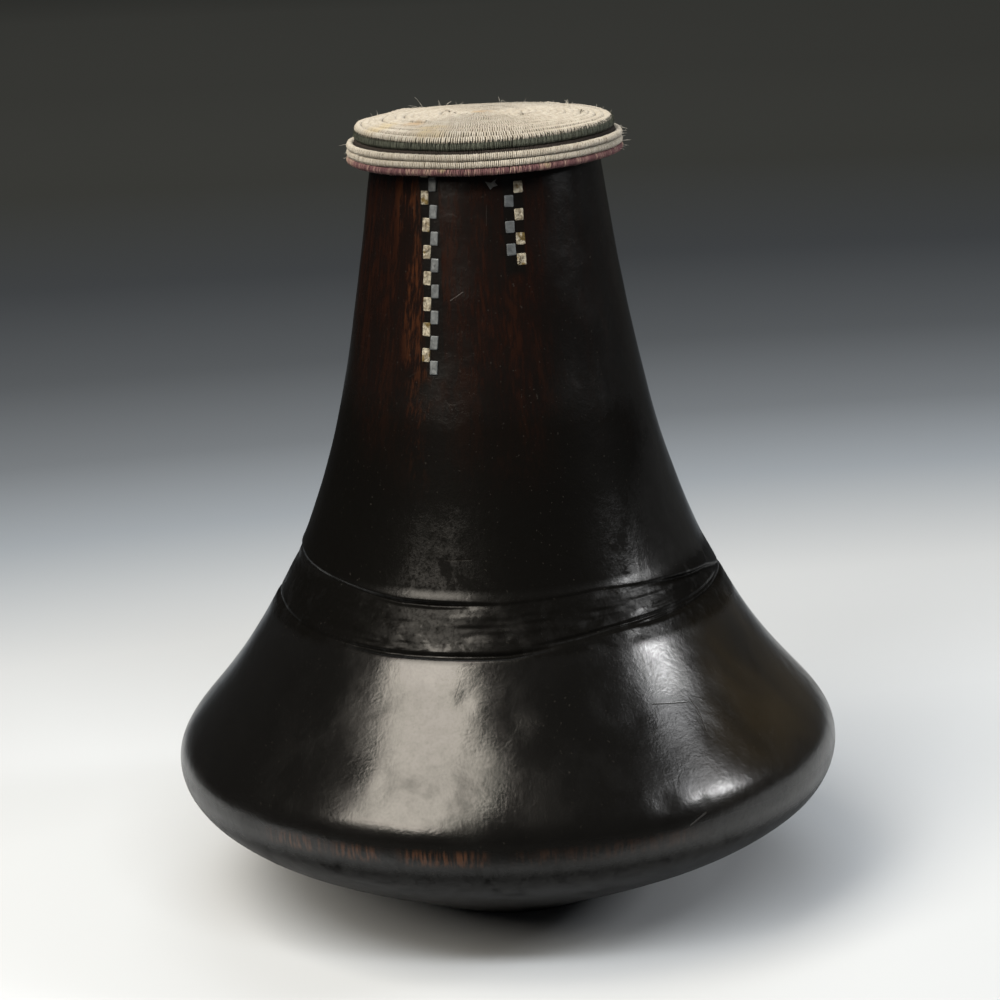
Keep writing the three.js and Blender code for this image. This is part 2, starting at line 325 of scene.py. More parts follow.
# Outline of the vessel: radius and height in millimetres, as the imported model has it

vesselShape = {
    "footRadius": 34,
    "footRound": 8,
    "bellyRadius": 124.4,
    "bellyHeight": 59.5,
    "bandBottomRadius": 85.9,
    "bandBottomHeight": 117,
    "bandTopRadius": 76.3,
    "bandTopHeight": 135,
    "mouthRadius": 39.9,
    "mouthHeight": 293,
    "undersideRise": 26,
    "undersideReach": 64.5,
    "bellyDrop": 21,
    "bellyLift": 14.5,
    "shoulderReach": 44,
    "shoulderLean": 29.5,
    "neckReach": 55.5,
    "neckLean": 25.7,
    "mouthReach": 20.6,
    "mouthLean": 11.6,
    "floorWall": 9.5,
    "bellyWall": 9,
    "bandWall": 7.8,
    "mouthWall": 6.6,
    "rimRound": 2.6,
    "lipSteps": 9,
    "columns": 308,
    "hollowShare": 4,  # one column of the hollow for so many outside
    "hollowSteps": (9, 9, 18),
    # distances between rings: at the band, elsewhere and on the underside, with where they change
    "bandRings": 0.5,
    "plainRings": 1.35,
    "underRings": 1.9,
    "bandMiddle": 127,
    "bandHalf": 14,
    "bandFade": 8,
    "underTop": 50,
    "underFade": 30,
}
vessel = SimpleNamespace(**vesselShape)


def bezier(points, steps):
    # a curve of the outline with any number of control points
    t = np.linspace(0, 1, steps)[:, None]
    level = [np.array(p, float)[None, :] * np.ones_like(t) for p in points]
    while len(level) > 1:
        level = [a * (1 - t) + b * t for a, b in zip(level, level[1:])]
    return level[0]


def leaning(radius, height, reach, lean):
    lean = math.radians(lean)
    return (radius - reach * math.sin(lean), height + reach * math.cos(lean))


def outlineCurves():
    s = vessel
    belly, bandBottom = (s.bellyRadius, s.bellyHeight), (s.bandBottomRadius, s.bandBottomHeight)
    bandTop, mouth = (s.bandTopRadius, s.bandTopHeight), (s.mouthRadius, s.mouthHeight - s.rimRound)
    start = leaning(s.footRadius, 0, s.footRound, s.undersideRise - 90)
    foot = [(s.footRadius - s.footRound, 0), (s.footRadius, 0), start]
    underside = [
        start,
        leaning(s.footRadius, 0, s.undersideReach, s.undersideRise - 90),
        (s.bellyRadius, s.bellyHeight - s.bellyDrop),
        belly,
    ]
    shoulder = [
        belly,
        (s.bellyRadius, s.bellyHeight + s.bellyLift),
        leaning(*bandBottom, -s.shoulderReach, s.shoulderLean),
        bandBottom,
    ]
    neck = [
        bandTop,
        leaning(*bandTop, s.neckReach, s.neckLean),
        leaning(*mouth, -s.mouthReach, s.mouthLean),
        mouth,
    ]
    return foot, underside, shoulder, neck


def spaced(points, spacing):
    # the points of a fine outline thinned so that neighbours lie spacing(height) apart
    lengths = np.hypot(*np.diff(points, axis=0).T)
    heights = (points[1:, 1] + points[:-1, 1]) / 2
    count = np.concatenate([[0], np.cumsum(lengths / spacing(heights))])
    wanted = np.linspace(0, count[-1], int(round(count[-1])) + 1)
    return np.stack([np.interp(wanted, count, points[:, k]) for k in (0, 1)], axis=1)


def ringSpacing(height):
    s = vessel
    offBand = ramp(np.abs(height - s.bandMiddle) - s.bandHalf, s.bandFade)
    under = ramp(s.underTop - height, s.underFade)
    return s.bandRings + (s.plainRings - s.bandRings) * offBand + (s.underRings - s.plainRings) * under


def outerOutline():
    whole = np.concatenate([bezier(curve, 800) for curve in outlineCurves()])
    keep = np.concatenate([[True], np.hypot(*np.diff(whole, axis=0).T) > 1e-9])
    return spaced(whole[keep], ringSpacing)


# Shapes of the surface work: a ramp from 0 to 1 over a width, and a bell of 1 in its middle

def ramp(value, width):
    return np.clip(value / width, 0, 1)


def bell(value, width):
    return np.exp(-((value / width) ** 2))


def surfaceNoise(turn, height, cellsRound, cellHeight, seed):
    # smooth noise in cells round the vessel and up it, the same every run
    highest = 320
    rows = int(highest / cellHeight) + 4
    grid = np.random.default_rng(seed).uniform(-1, 1, (cellsRound, rows))
    u, v = (turn % 1) * cellsRound, np.clip(height / cellHeight + 1, 0, rows - 2)
    i, j = np.floor(u).astype(int), np.floor(v).astype(int)
    fu, fv = u - i, v - j
    fu, fv = fu * fu * (3 - 2 * fu), fv * fv * (3 - 2 * fv)
    a, b = grid[i % cellsRound, j], grid[(i + 1) % cellsRound, j]
    c, d = grid[i % cellsRound, j + 1], grid[(i + 1) % cellsRound, j + 1]
    return (a * (1 - fu) + b * fu) * (1 - fv) + (c * (1 - fu) + d * fu) * fv


# The tooled band: where its two edges run round the vessel, in degrees and millimetres

bandShape = {
    "azimuths": [-150, -110, -79, -50, -28, 1, 26, 46, 72, 88, 105, 130, 165],
    "upperEdge": [138.0, 139.5, 139.3, 137.1, 134.5, 134.2, 135.8, 134.0, 130.6, 125.9, 127.5, 133.0, 136.5],
    "lowerEdge": [117.5, 119.2, 120.2, 117.8, 116.9, 117.1, 120.8, 121.9, 123.3, 123.6, 121.0, 118.0, 116.8],
    "reach": 16,
    "faceDepth": 0.6,
    "striation": 0.13,
    "wrinklesAt": -24,
    "wrinklesWide": 30,
    "wrinkleDepth": 2.2,
    "edgeGroove": 1.15,
    "edgeGrooveWidth": 0.8,
    "secondGroove": 0.7,
    "secondAbove": 2.1,
    "secondFrom": 6,
    "secondTo": 80,
    "underLip": 0.9,
    "lipProud": 0.45,
    "lipFade": 3.5,
    "smoothAt": -50,
    "smoothWide": 15,
    "smoothShare": 0.7,
}
band = SimpleNamespace(**bandShape)


def bandEdges(azimuth):
    turns = np.array(band.azimuths)
    return [np.interp(azimuth, turns, edge, period=360) for edge in (band.lowerEdge, band.upperEdge)]


def bandHeights(height, azimuth):
    # rings near the band follow its edges, so that the edges stay crisp
    restLower, restUpper = vessel.bandBottomHeight, vessel.bandTopHeight
    lower, upper = bandEdges(azimuth)
    bottom, top = restLower - band.reach, restUpper + band.reach
    below = bottom + (height - bottom) * (lower - bottom) / (restLower - bottom)
    within = lower + (height - restLower) * (upper - lower) / (restUpper - restLower)
    above = upper + (height - restUpper) * (top - upper) / (top - restUpper)
    moved = np.where(height < restLower, below, np.where(height < restUpper, within, above))
    return np.where((height > bottom) & (height < top), moved, height)


def bandRelief(height, azimuth):
    # depth of the tool work in millimetres, negative into the wood
    b = band
    lower, upper = bandEdges(azimuth)
    turn, level = azimuth / 360, height * 0
    inside = ramp(height - lower, 0.8) * ramp(upper - height, 0.5)
    worked = np.clip(0.45 + 0.9 * surfaceNoise(turn, height, 11, 9, 15), 0.06, 1.15)
    rough = surfaceNoise(turn, height, 40, 1.1, 11) + 0.8 * surfaceNoise(turn, height, 110, 1.3, 12)
    wrinkles = np.clip(1 - np.abs(azimuth - b.wrinklesAt) / b.wrinklesWide, 0, 1) * ramp(lower + 9 - height, 5)
    rough = rough * worked + b.wrinkleDepth * wrinkles * surfaceNoise(turn, height, 150, 1.1, 16)
    face = -inside * (b.faceDepth * (0.4 + 0.6 * worked) + b.striation * rough)
    along = np.clip(0.3 + 1.1 * surfaceNoise(turn, level, 15, 5, 13), 0, 1.1)
    groove = -b.edgeGroove * along * bell(height - lower - 0.5, b.edgeGrooveWidth)
    second = ramp(azimuth - b.secondFrom, 6) * ramp(b.secondTo - azimuth, 12)
    double = -b.secondGroove * second * bell(height - lower - b.secondAbove, 0.6)
    alongTop = np.clip(0.3 + 1.1 * surfaceNoise(turn, level, 19, 5, 14), 0, 1.2)
    undercut = -b.underLip * alongTop * bell(upper - 0.9 - height, 0.8)
    lipFade = np.exp(-np.clip(height - upper, 0, None) / b.lipFade) * np.clip((height - upper) / 0.4 + 1, 0, 1)
    lip = b.lipProud * alongTop * lipFade
    narrow = np.clip((upper - lower) / 6, 0.25, 1)
    smoothed = 1 - b.smoothShare * bell(azimuth - b.smoothAt, b.smoothWide)
    return (face + double + (groove + undercut + lip) * smoothed) * narrow


# Hand work: slow waves left by the adze and years of wear, as depth, cells round, cell height and seed

handWaves = [(0.42, 7, 60, 21), (0.22, 17, 26, 22), (0.07, 46, 9, 23)]

# Dents that show in the photograph and others like them: azimuth, height, radius, depth
vesselDents = [
    (26, 69, 5.5, 0.45),
    (33, 66, 4.0, 0.35),
    (-14, 92, 7.0, 0.25),
    (-22, 78, 6.0, 0.2),
    (2, 100, 8.0, 0.25),
    (14, 84, 9.0, 0.25),
    (-9, 104, 4.0, 0.3),
]
scatteredDents = {
    "count": 90, "heights": (20, 285), "radius": (3, 9), "depth": (0.05, 0.22), "seed": 5,
    "calmAbove": 112, "calm": 0.3,
}


def allDents():
    d = scatteredDents
    draw = np.random.default_rng(d["seed"])
    for _ in range(d["count"]):
        azimuth, height = draw.uniform(-180, 180), draw.uniform(*d["heights"])
        radius, depth = draw.uniform(*d["radius"]), draw.uniform(*d["depth"])
        yield (azimuth, height, radius, depth if height < d["calmAbove"] else depth * d["calm"])
    yield from vesselDents


def handWork(radius, height, azimuth):
    waves = sum(depth * surfaceNoise(azimuth / 360, height, *cells) for depth, *cells in handWaves)
    for dentAzimuth, dentHeight, dentRadius, depth in allDents():
        across = np.radians((azimuth - dentAzimuth + 180) % 360 - 180) * radius
        away = np.hypot(across, height - dentHeight) / dentRadius
        waves = waves - depth * np.exp(-(away**2) * 2)
    return waves


def outsideRings(azimuth):
    # from the foot to the mouth; the hand work fades out at both ends and stays within the belly's radius
    endFade, bellyFade = 12, 2.5
    outer = outerOutline()
    a, base = np.meshgrid(azimuth, outer[:, 1])
    height = bandHeights(base, a)
    fine = np.concatenate([bezier(curve, 400) for curve in outlineCurves()[2:]])
    radius = np.repeat(outer[:, :1], len(azimuth), axis=1)
    moved = height != base
    radius[moved] = np.interp(height[moved], fine[:, 1], fine[:, 0])
    slope = np.gradient(outer, axis=0)
    slope /= np.hypot(*slope.T)[:, None]
    push = handWork(radius, height, a) * ramp(outer[:, 1:], endFade)
    push = push * np.clip((vessel.mouthHeight - outer[:, 1:]) / endFade, 0.15, 1)
    push = np.where(push > 0, push * ramp(vessel.bellyRadius - radius, bellyFade), push)
    push = push + bandRelief(height, a)
    height = np.maximum(height - slope[:, :1] * push, 0)
    return around(radius + slope[:, 1:] * push, np.radians(a), height)


def lipRings(azimuth, outside):
    # the rounded lip, from the uneven outside to the even hollow
    s = vessel
    uneven = np.hypot(outside[:, 0], outside[:, 1]) - s.mouthRadius
    wavy = 0.12 * surfaceNoise(azimuth / 360, azimuth * 0, 9, 5, 31)
    rings = []
    for step in range(1, s.lipSteps + 1):
        bend = math.pi * step / s.lipSteps
        radius = s.mouthRadius - s.mouthWall / 2 * (1 - math.cos(bend)) + uneven * (1 - step / s.lipSteps)
        height = np.minimum(s.mouthHeight - s.rimRound * (1 - math.sin(bend)) + wavy, s.mouthHeight)
        rings.append(around(radius, np.radians(azimuth), height))
    return rings


def hollowRings(azimuth):
    # from the mouth down to the floor of the hollow: the outline moved in by the wall
    s = vessel
    walls = (s.floorWall, s.bellyWall, s.bandWall, s.mouthWall)
    parts = []
    for curve, startWall, endWall, steps in zip(outlineCurves()[1:], walls, walls[1:], s.hollowSteps):
        tangent = np.gradient(bezier(curve, steps * 20), axis=0)[::20][:steps]
        tangent = tangent / np.hypot(*tangent.T)[:, None]
        wall = np.linspace(startWall, endWall, steps)[:, None]
        parts.append(bezier(curve, steps) + np.stack([-tangent[:, 1], tangent[:, 0]], axis=1) * wall)
    inner = np.concatenate([parts[0], parts[1][1:], parts[2]])[::-1][1:]
    a, height = np.meshgrid(azimuth, inner[:, 1])
    radius = inner[:, :1] + 0.5 * surfaceNoise(a / 360, height, 30, 12, 41)
    return around(radius, np.radians(a), height)


def vesselMesh(material):
    columns, share = vessel.columns, vessel.hollowShare
    azimuth = np.arange(columns) * 360 / columns - 180
    outside = outsideRings(azimuth)
    outer = [*outside, *lipRings(azimuth, outside[-1])]
    inner = hollowRings(azimuth[::share])
    innerColumns = columns // share
    innerStart = len(outer) * columns
    footCentre = innerStart + len(inner) * innerColumns
    centres = np.array([[0, 0, 0], [0, 0, inner[-1, :, 2].mean()]])
    faces = ringFaces(0, columns, len(outer)) + ringFaces(innerStart, innerColumns, len(inner))
    lipEnd = innerStart - columns
    for k in range(innerColumns):
        edge = [lipEnd + (k * share + e) % columns for e in range(share + 1)]
        faces.append((*edge, innerStart + (k + 1) % innerColumns, innerStart + k))
    faces += fan(footCentre, 0, columns, under=True)
    faces += fan(footCentre + 1, footCentre - innerColumns, innerColumns)
    return smoothMesh("vessel_wood", np.concatenate([*outer, *inner, centres]) * mm, faces, material)


# Blackened wood: near black with reddish grain on the neck and worn streaks on the belly's edge

woodFinish = {
    "black": (0.0026, 0.0024, 0.0021),
    "brown": (0.0088, 0.0033, 0.0022),
    "rust": (0.032, 0.0108, 0.0045),
    "olive": (0.020, 0.014, 0.006),
    "wornRed": (0.044, 0.019, 0.009),
    "hollow": (0.030, 0.020, 0.013),
    "dust": (0.05, 0.045, 0.038),
    "scratched": (0.07, 0.062, 0.05),
    "roughness": (0.18, 0.27),
    "glossyIor": 1.58,
    "dullRoughness": 0.42,
    "dullSpecular": 0.02,
}

# Where the looks change, in millimetres across, or up the vessel. Each side runs from none to full
woodPlaces = {
    "rubbedAcross": ((-54.0, -44.0), (27.0, 13.0)),
    "besideRow": ((-33.0, -29.0), (-21.0, -24.5)),
    "oliveUp": ((58.0, 84.0), (128.0, 112.0)),
    "wornUp": ((53.5, 56.5), (61.5, 58.5)),
    "turnedEdgeUp": ((50.0, 55.0), (63.0, 58.0)),
    "bandUp": ((114.0, 117.5), (139.5, 134.0)),
    "aboveBandUp": ((136.0, 139.0), (205.0, 178.0)),
}

# Scratches as seen from the front: ends in x and z, width and depth, all in millimetres
scratches = [
    ((51.0, 97.5), (64.0, 95.5), 0.22, 0.5),
    ((64.5, 96.5), (67.5, 92.5), 0.22, 0.6),
    ((67.5, 92.5), (70.0, 86.0), 0.25, 0.6),
    ((62.0, 61.0), (67.5, 64.0), 0.5, 0.6),
    ((-15.5, 110.0), (-17.5, 105.0), 0.22, 0.3),
    ((-19.0, 148.0), (-10.5, 148.2), 0.3, 0.4),
    ((-14.0, 236.5), (-9.5, 239.5), 0.2, 0.3),
    ((-29.5, 209.5), (-27.0, 211.0), 0.2, 0.3),
    ((-17.0, 202.0), (-15.0, 199.0), 0.18, 0.3),
    ((-0.5, 262.0), (-0.2, 269.0), 0.25, 0.3),
]


def scratchField(tree, x, z, ends):
    # the scratch's depth on its line, fading to 0 at its width
    (x0, z0), (x1, z1), width, depth = ends
    length = math.hypot(x1 - x0, z1 - z0)
    ux, uz = (x1 - x0) / length, (z1 - z0) / length
    along = (x - x0) * ux + (z - z0) * uz
    beyond = (along - along.math("MINIMUM", length).math("MAXIMUM", 0.0)).math("ABSOLUTE")
    across = ((x - x0) * -uz + (z - z0) * ux).math("ABSOLUTE")
    away = (across * across + beyond * beyond).math("SQRT")
    return tree.between(away, 0.0, width, depth, 0.0)


def woodMaterial():
    material, tree = newMaterial("blackened_wood")
    w, at, between = woodFinish, woodPlaces, tree.between
    scaled = {0: tree.coordinates(), "Scale": 1 / mm}
    x, y, z = tree.axes(tree.node("ShaderNodeVectorMath", {"operation": "SCALE"}, scaled))
    front = between(y, -5.0, 25.0, 1.0, 0.0)
    radius = (x * x + y * y).math("SQRT")

    # grain that runs up the vessel: broad stains, streaks and fine dark pores
    grain = tree.noise(150, 3.0, 0.6, 0.3, stretch=(1, 1, 0.05))
    fineGrain = tree.noise(1000, 3.0, 0.65, 0.1, stretch=(1, 1, 0.03))
    patches = tree.noise(30, 2.0, 0.5, 0.4, stretch=(1, 1, 0.35))
    onNeck = between(z, 160.0, 240.0)
    acrossFront = tree.window(x, *at["rubbedAcross"]) * 0.85 + 0.15
    rubbed = onNeck * between(patches, 0.30, 0.50, 0.50, 1.0) * acrossFront
    streaks = between(grain * 0.5 + fineGrain * 0.5, 0.42, 0.60)
    brown = rubbed * (streaks * 0.65 + 0.35)
    besideRow = tree.window(x, *at["besideRow"]) * 0.86 + 0.14
    stains = between(grain * 0.6 + fineGrain * 0.4, 0.50, 0.60) * besideRow
    stained = tree.mix(stains, w["brown"], w["rust"])

    # the wood between the plates is black, and so is a patch below the left row
    leftStrip = between((x + 20.1).math("ABSOLUTE"), 2.9, 3.7, 1.0, 0.0) * between(z, 207.0, 211.0)
    rightStrip = between((x - 9.2).math("ABSOLUTE"), 3.1, 3.9, 1.0, 0.0) * between(z, 243.0, 246.5)
    patchBelow = tree.near((-22.5, -46.0, 204.0), 7.5)
    blackened = leftStrip.math("MAXIMUM", rightStrip).math("MAXIMUM", patchBelow) * front
    brown = brown * (1.0 - blackened * 0.85)
    colour = tree.mix(brown, w["black"], stained)

    # olive tint of the right shoulder
    shoulderRight = between(x, 55.0, 88.0) * tree.window(z, *at["oliveUp"])
    tinted = shoulderRight * between(patches, 0.35, 0.65, 0.25, 1.0) * 0.7
    colour = tree.mix(tinted, colour, w["olive"])

    # worn streaks where the belly turns under
    wornTicks = tree.noise(850, 2.0, 0.55, 0.0, stretch=(1, 1, 0.10))
    wornPatches = tree.noise(45, 2.0, 0.5, 0.0, stretch=(1, 1, 0.2))
    ticks = between(wornTicks, 0.40, 0.66) * between(wornPatches, 0.32, 0.52)
    mostlyLeft = between(x, -92.0, -75.0) * between(x, 10.0, -20.0, 0.28, 1.0) * between(x, 75.0, 60.0)
    worn = tree.window(z, *at["wornUp"]) * ticks * front * mostlyLeft
    colour = tree.mix(worn, colour, w["wornRed"])

    # inside of the hollow: dull and smoky
    wall = between(radius, 33.5, 35.5, 1.0, 0.0) * between(z, 262.0, 270.0)
    colour = tree.mix(wall, colour, w["hollow"])

    # a film of dust and fine specks, then the scratches
    specks = tree.noise(900, 1.0, 0.5)
    colour = tree.mix(between(specks, 0.72, 0.78, 0.0, 0.22), colour, w["dust"])
    marks, *others = [scratchField(tree, x, z, ends) for ends in scratches]
    for other in others:
        marks = marks.math("MAXIMUM", other)
    marks = marks * front
    colour = tree.mix(marks * 0.2, colour, w["scratched"])

    # gloss: polished by hands, duller in the band, in the grain and where the surface is scuffed
    inBand = tree.window(z, *at["bandUp"])
    scuff = tree.noise(55, 4.0, 0.6, 0.3, stretch=(1, 1, 0.8))
    turnedEdge = tree.window(z, *at["turnedEdgeUp"])
    roughness = between(scuff, 0.35, 0.70, *w["roughness"]) + marks * 0.2 + inBand * 0.06 + turnedEdge * 0.12
    underside, onShoulder = between(z, 57.0, 49.0), between(z, 112.0, 104.0)
    dull = between(scuff, 0.55, 0.8) * 0.3 + onShoulder * 0.12 + brown * 0.3 + wall + underside * 0.73
    pores = tree.noise(1100, 2.0, 0.6)
    leather = tree.noise(260, 4.0, 0.62, 0.5)
    rubs = tree.noise(300, 2.0, 0.5, 0.0, stretch=(0.18, 0.18, 1))
    bare = tree.noise(120, 3.0, 0.6, 0.3)
    leftOfRight = between(x, 62.0, 44.0)
    dull = dull + inBand * between(bare, 0.50, 0.66, 0.86, 0.5)
    aboveBand = tree.window(z, *at["aboveBandUp"]) * 0.9 + between(z, 160.0, 190.0) * 0.45
    dull = dull + aboveBand * leftOfRight
    dull = dull + between(leather, 0.40, 0.70) * 0.08 + between(pores, 0.45, 0.70) * 0.07
    height = leather * 0.15 + pores * 0.05 + rubs * 0.05 + fineGrain * brown * 0.06 - marks * 0.18
    both = {"Base Color": colour, "Normal": tree.bump(height, 0.001, 0.6)}
    glossy = both | {"Roughness": roughness, "IOR": w["glossyIor"]}
    matt = both | {"Roughness": w["dullRoughness"], "Specular IOR Level": w["dullSpecular"]}
    shaders = [tree.node("ShaderNodeBsdfPrincipled", None, sockets) for sockets in (glossy, matt)]
    blended = {0: dull.math("MINIMUM", 1.0), 1: shaders[0], 2: shaders[1]}
    surface = tree.node("ShaderNodeMixShader", None, blended)
    tree.node("ShaderNodeOutputMaterial", None, {"Surface": surface})
    return material


place("carved_body", vesselMesh(woodMaterial()), "body", "vessel", slot="carved_wood")
print("vessel carved")


# Metal inlays: small hammered plates let into the neck, in two columns set chequerwise

inlayRows = [
    {
        "node": "left_inlay", "count": 16, "width": 3.08, "height": 5.0, "pitch": 4.53, "columnPitch": 3.1,
        "belowMouth": 12.1, "azimuthTop": -28.9, "azimuthBottom": -24.9, "firstSide": -1,
        "bow": 0.85, "sag": 0.9, "seed": 100,
    },
    {
        "node": "right_inlay", "count": 7, "width": 3.3, "height": 4.3, "pitch": 4.13, "columnPitch": 3.5,
        "belowMouth": 18.4, "azimuthTop": 12.6, "azimuthBottom": 12.0, "firstSide": 1,
        "bow": 0.0, "sag": 1.3, "seed": 140,
    },
]
plateShape = {
    "proud": 0.5,
    "depth": 2.4,
    "cornerRound": 0.45,
    "edgeRound": 0.22,
    "edgeInset": 1.5,  # half a plate's usual width, which turns an inset into a share
    "faceRings": 5,
    "faceStep": 0.16,
    "hammer": 0.05,
    "pit": 0.12,
    "shift": 0.10,
    "tilt": 2.0,
    "trim": 0.12,
}
tornScrap = {
    "corners": [
        (-2.3, 1.2), (-0.2, 0.8), (1.8, 2.2), (1.1, 0.9),
        (2.0, -0.3), (0.4, -0.7), (-0.6, -1.6), (-1.4, -0.4),
    ],
    "belowMouth": 17.2,
    "azimuth": 2.8,
    "proud": 0.3,
    "depth": 0.8,
    "seed": 77,
}
plate = SimpleNamespace(**plateShape)


def neckFrame(belowMouth, azimuth):
    # origin on the neck's surface; X to the right, Y up the neck, Z out of the wood
    height = vessel.mouthHeight - belowMouth
    curve = bezier(outlineCurves()[3], 400)
    radius, above = np.interp([height, height + 1], curve[:, 1], curve[:, 0])
    turn = math.radians(azimuth)
    out = Vector(around(1, turn, 0))
    up = (out * (above - radius) + Vector((0, 0, 1))).normalized()
    right = Vector((math.cos(turn), math.sin(turn), 0))
    basis = Matrix((right, up, right.cross(up))).transposed().to_4x4()
    return Matrix.Scale(mm, 4) @ Matrix.Translation(out * radius + Vector((0, 0, height))) @ basis


def plateMesh(name, outline, proud, depth, rough, seed, material):
    # a plate from its outline: a domed, dimpled face, a rounded edge and sides that go down into the wood
    draw = np.random.default_rng(seed)
    p = plate
    outline = np.array(outline, float)
    count, middle = len(outline), outline.mean(0)
    rings = [(1.0, -depth), (1.0, proud - p.edgeRound)]
    for share in (0.35, 0.7, 1.0):
        bend = share * math.pi / 2
        inset = p.edgeRound * (1 - math.cos(bend)) / p.edgeInset
        rings.append((1 - inset, proud - p.edgeRound * (1 - math.sin(bend))))
    faceEdge = 1 - p.edgeRound / p.edgeInset
    rings += [(faceEdge - k * p.faceStep, proud) for k in range(1, p.faceRings + 1)]
    waves = draw.uniform(-1, 1, (3, 4))
    points = []
    for share, level in rings:
        ring = middle + (outline - middle) * max(share, 0.02)
        lift = np.full(count, level)
        if level >= proud - 0.01:
            for a, b, c, d in waves:
                lift += p.hammer * np.sin(ring[:, 0] * (1.6 + a) + ring[:, 1] * (1.2 + b) * 2 + c * 5) * d
            lift += rough * p.pit * draw.uniform(-1, 0.5, count)
        points.append(np.column_stack([ring, lift]))
    top = (len(rings) - 1) * count
    faces = ringFaces(0, count, len(rings)) + fan(top + count, top, count)
    faces.append(tuple(range(count - 1, -1, -1)))
    return smoothMesh(name, np.concatenate(points + [[[*middle, proud]]]), faces, material)


def roundedRectangle(width, height, draw):
    # corners in turn, each pulled in a little by hand cutting
    points = []
    for cx, cy, start in ((1, -1, -90), (1, 1, 0), (-1, 1, 90), (-1, -1, 180)):
        cut = draw.uniform(0, plate.trim, 2)
        x, y = cx * (width / 2 - cut[0]), cy * (height / 2 - cut[1])
        r = plate.cornerRound * draw.uniform(0.5, 1.2)
        for step in range(5):
            bend = math.radians(start + step * 22.5)
            points.append((x - cx * r + r * math.cos(bend), y - cy * r + r * math.sin(bend)))
    return points


def greyMetal():
    material, tree = newMaterial("grey_metal")
    rubbed = tree.noise(1600, 2.0, 0.6, 0.0, stretch=(1, 1, 0.2))
    stains = tree.noise(420, 3.0, 0.6)
    colour = tree.mix(tree.between(stains, 0.35, 0.7), (0.125, 0.135, 0.14), (0.070, 0.075, 0.078))
    roughness = tree.between(stains, 0.3, 0.7, 0.42, 0.58)
    normal = tree.bump(rubbed * 0.3 + stains * 0.5, 0.0003, 0.5)
    finishMaterial(tree, Base_Color=colour, Metallic=0.5, Roughness=roughness, Normal=normal)
    return material


def paleMetal():
    material, tree = newMaterial("pale_metal")
    crust = tree.noise(650, 4.0, 0.65, 0.4)
    grime = tree.noise(260, 2.0, 0.6)
    colour = tree.mix(tree.between(crust, 0.40, 0.60), (0.34, 0.31, 0.24), (0.16, 0.135, 0.095))
    colour = tree.mix(tree.between(grime, 0.57, 0.66), colour, (0.11, 0.075, 0.022))
    colour = tree.mix(tree.between(crust, 0.62, 0.70), colour, (0.012, 0.010, 0.008))
    normal = tree.bump(crust, 0.0006, 0.9)
    finishMaterial(tree, Base_Color=colour, Metallic=0.35, Roughness=0.55, Normal=normal)
    return material


def makePlate(row, index, slot, material, rough):
    r = SimpleNamespace(**row)
    seed, share = r.seed + index, index / (r.count - 1)
    middle = math.sin(math.pi * share)  # 0 at both ends of the row and 1 half way
    draw = np.random.default_rng(seed)
    side = r.firstSide * (1 if index % 2 == 0 else -1)
    across, upward = draw.uniform(-1, 1, 2) * plate.shift
    across += side * r.columnPitch / 2 + r.bow * middle
    turn = math.radians(draw.uniform(-1, 1) * plate.tilt)
    outline = roundedRectangle(r.width, r.height, draw)
    proud = plate.proud * draw.uniform(0.8, 1.15)
    node = f"{r.node}_{index + 1:02d}"
    mesh = plateMesh(node, outline, proud, plate.depth, rough, seed, material)
    belowMouth = r.belowMouth + index * r.pitch + r.sag * middle
    azimuth = r.azimuthTop + share * (r.azimuthBottom - r.azimuthTop)
    spot = Matrix.Translation((across, upward, 0)) @ Matrix.Rotation(turn, 4, "Z")
    mesh.transform(neckFrame(belowMouth, azimuth) @ spot)
    place(node.replace("inlay", "plate"), mesh, "body", node, slot=slot)


def makeInlays():
    finishes = (("pale_inlay", paleMetal(), 1.0), ("grey_inlay", greyMetal(), 0.12))
    for row in inlayRows:
        for index in range(row["count"]):
            makePlate(row, index, *finishes[index % 2])
    torn = SimpleNamespace(**tornScrap)
    corners = np.array(torn.corners)
    sides = zip(corners, np.roll(corners, -1, axis=0))
    outline = [a * (1 - t) + b * t for a, b in sides for t in (0, 1 / 3, 2 / 3)]
    mesh = plateMesh("torn_scrap", outline[::-1], torn.proud, torn.depth, 1.0, torn.seed, finishes[1][1])
    mesh.transform(neckFrame(torn.belowMouth, torn.azimuth))
    place("torn_scrap", mesh, "body", "torn_inlay", slot="grey_inlay")


makeInlays()
print("inlays set")


# The lid: one long coil wrapped with fibre, sewn to the turn before it

lidShape = {
    "coilPitch": 2.64,
    "coilRadius": 1.20,
    "play": 3.65,
    "restGap": 0.3,
    "packedCoilRadius": 1.06,
    "crownRise": 3.3,
    "crownEdge": 7.5,
    "crownDrop": 0.8,
    "darkLoops": 2,
    "sideLoops": 2,
    "rimLoops": 1,
    "skirtDrop": 3.1,
    "skirtSettle": 0.5,
    "skirtPitch": 2.5,
    "skirtFlare": 0.1,
    "ripple": 0.6,
    # the front has sunk a little with age: where, and by how much at the crown's edge and in the skirt
    "sunkAzimuth": -16,
    "sunkEdge": 1.3,
    "sunkSkirt": 1.15,
    "sunkFade": 1.5,
}
lid = SimpleNamespace(**lidShape)

# Stitches of each run, in millimetres and degrees: every, width, thickness, bite, lean, unruly, seed
stitchesOf = {
    "crown_coil": (0.84, 0.86, 0.30, 0.55, 8, 4, 1),
    "dark_coil": (0.62, 0.72, 0.20, 0.30, 3, 4, 2),
    "dark_teeth": (1.55, 0.42, 0.24, 1.1, 3, 9, 5),
    "side_coil": (0.66, 0.72, 0.20, 0.10, 3, 3, 3),
    "rim_coil": (0.62, 0.66, 0.22, 0.14, 3, 8, 4),
}


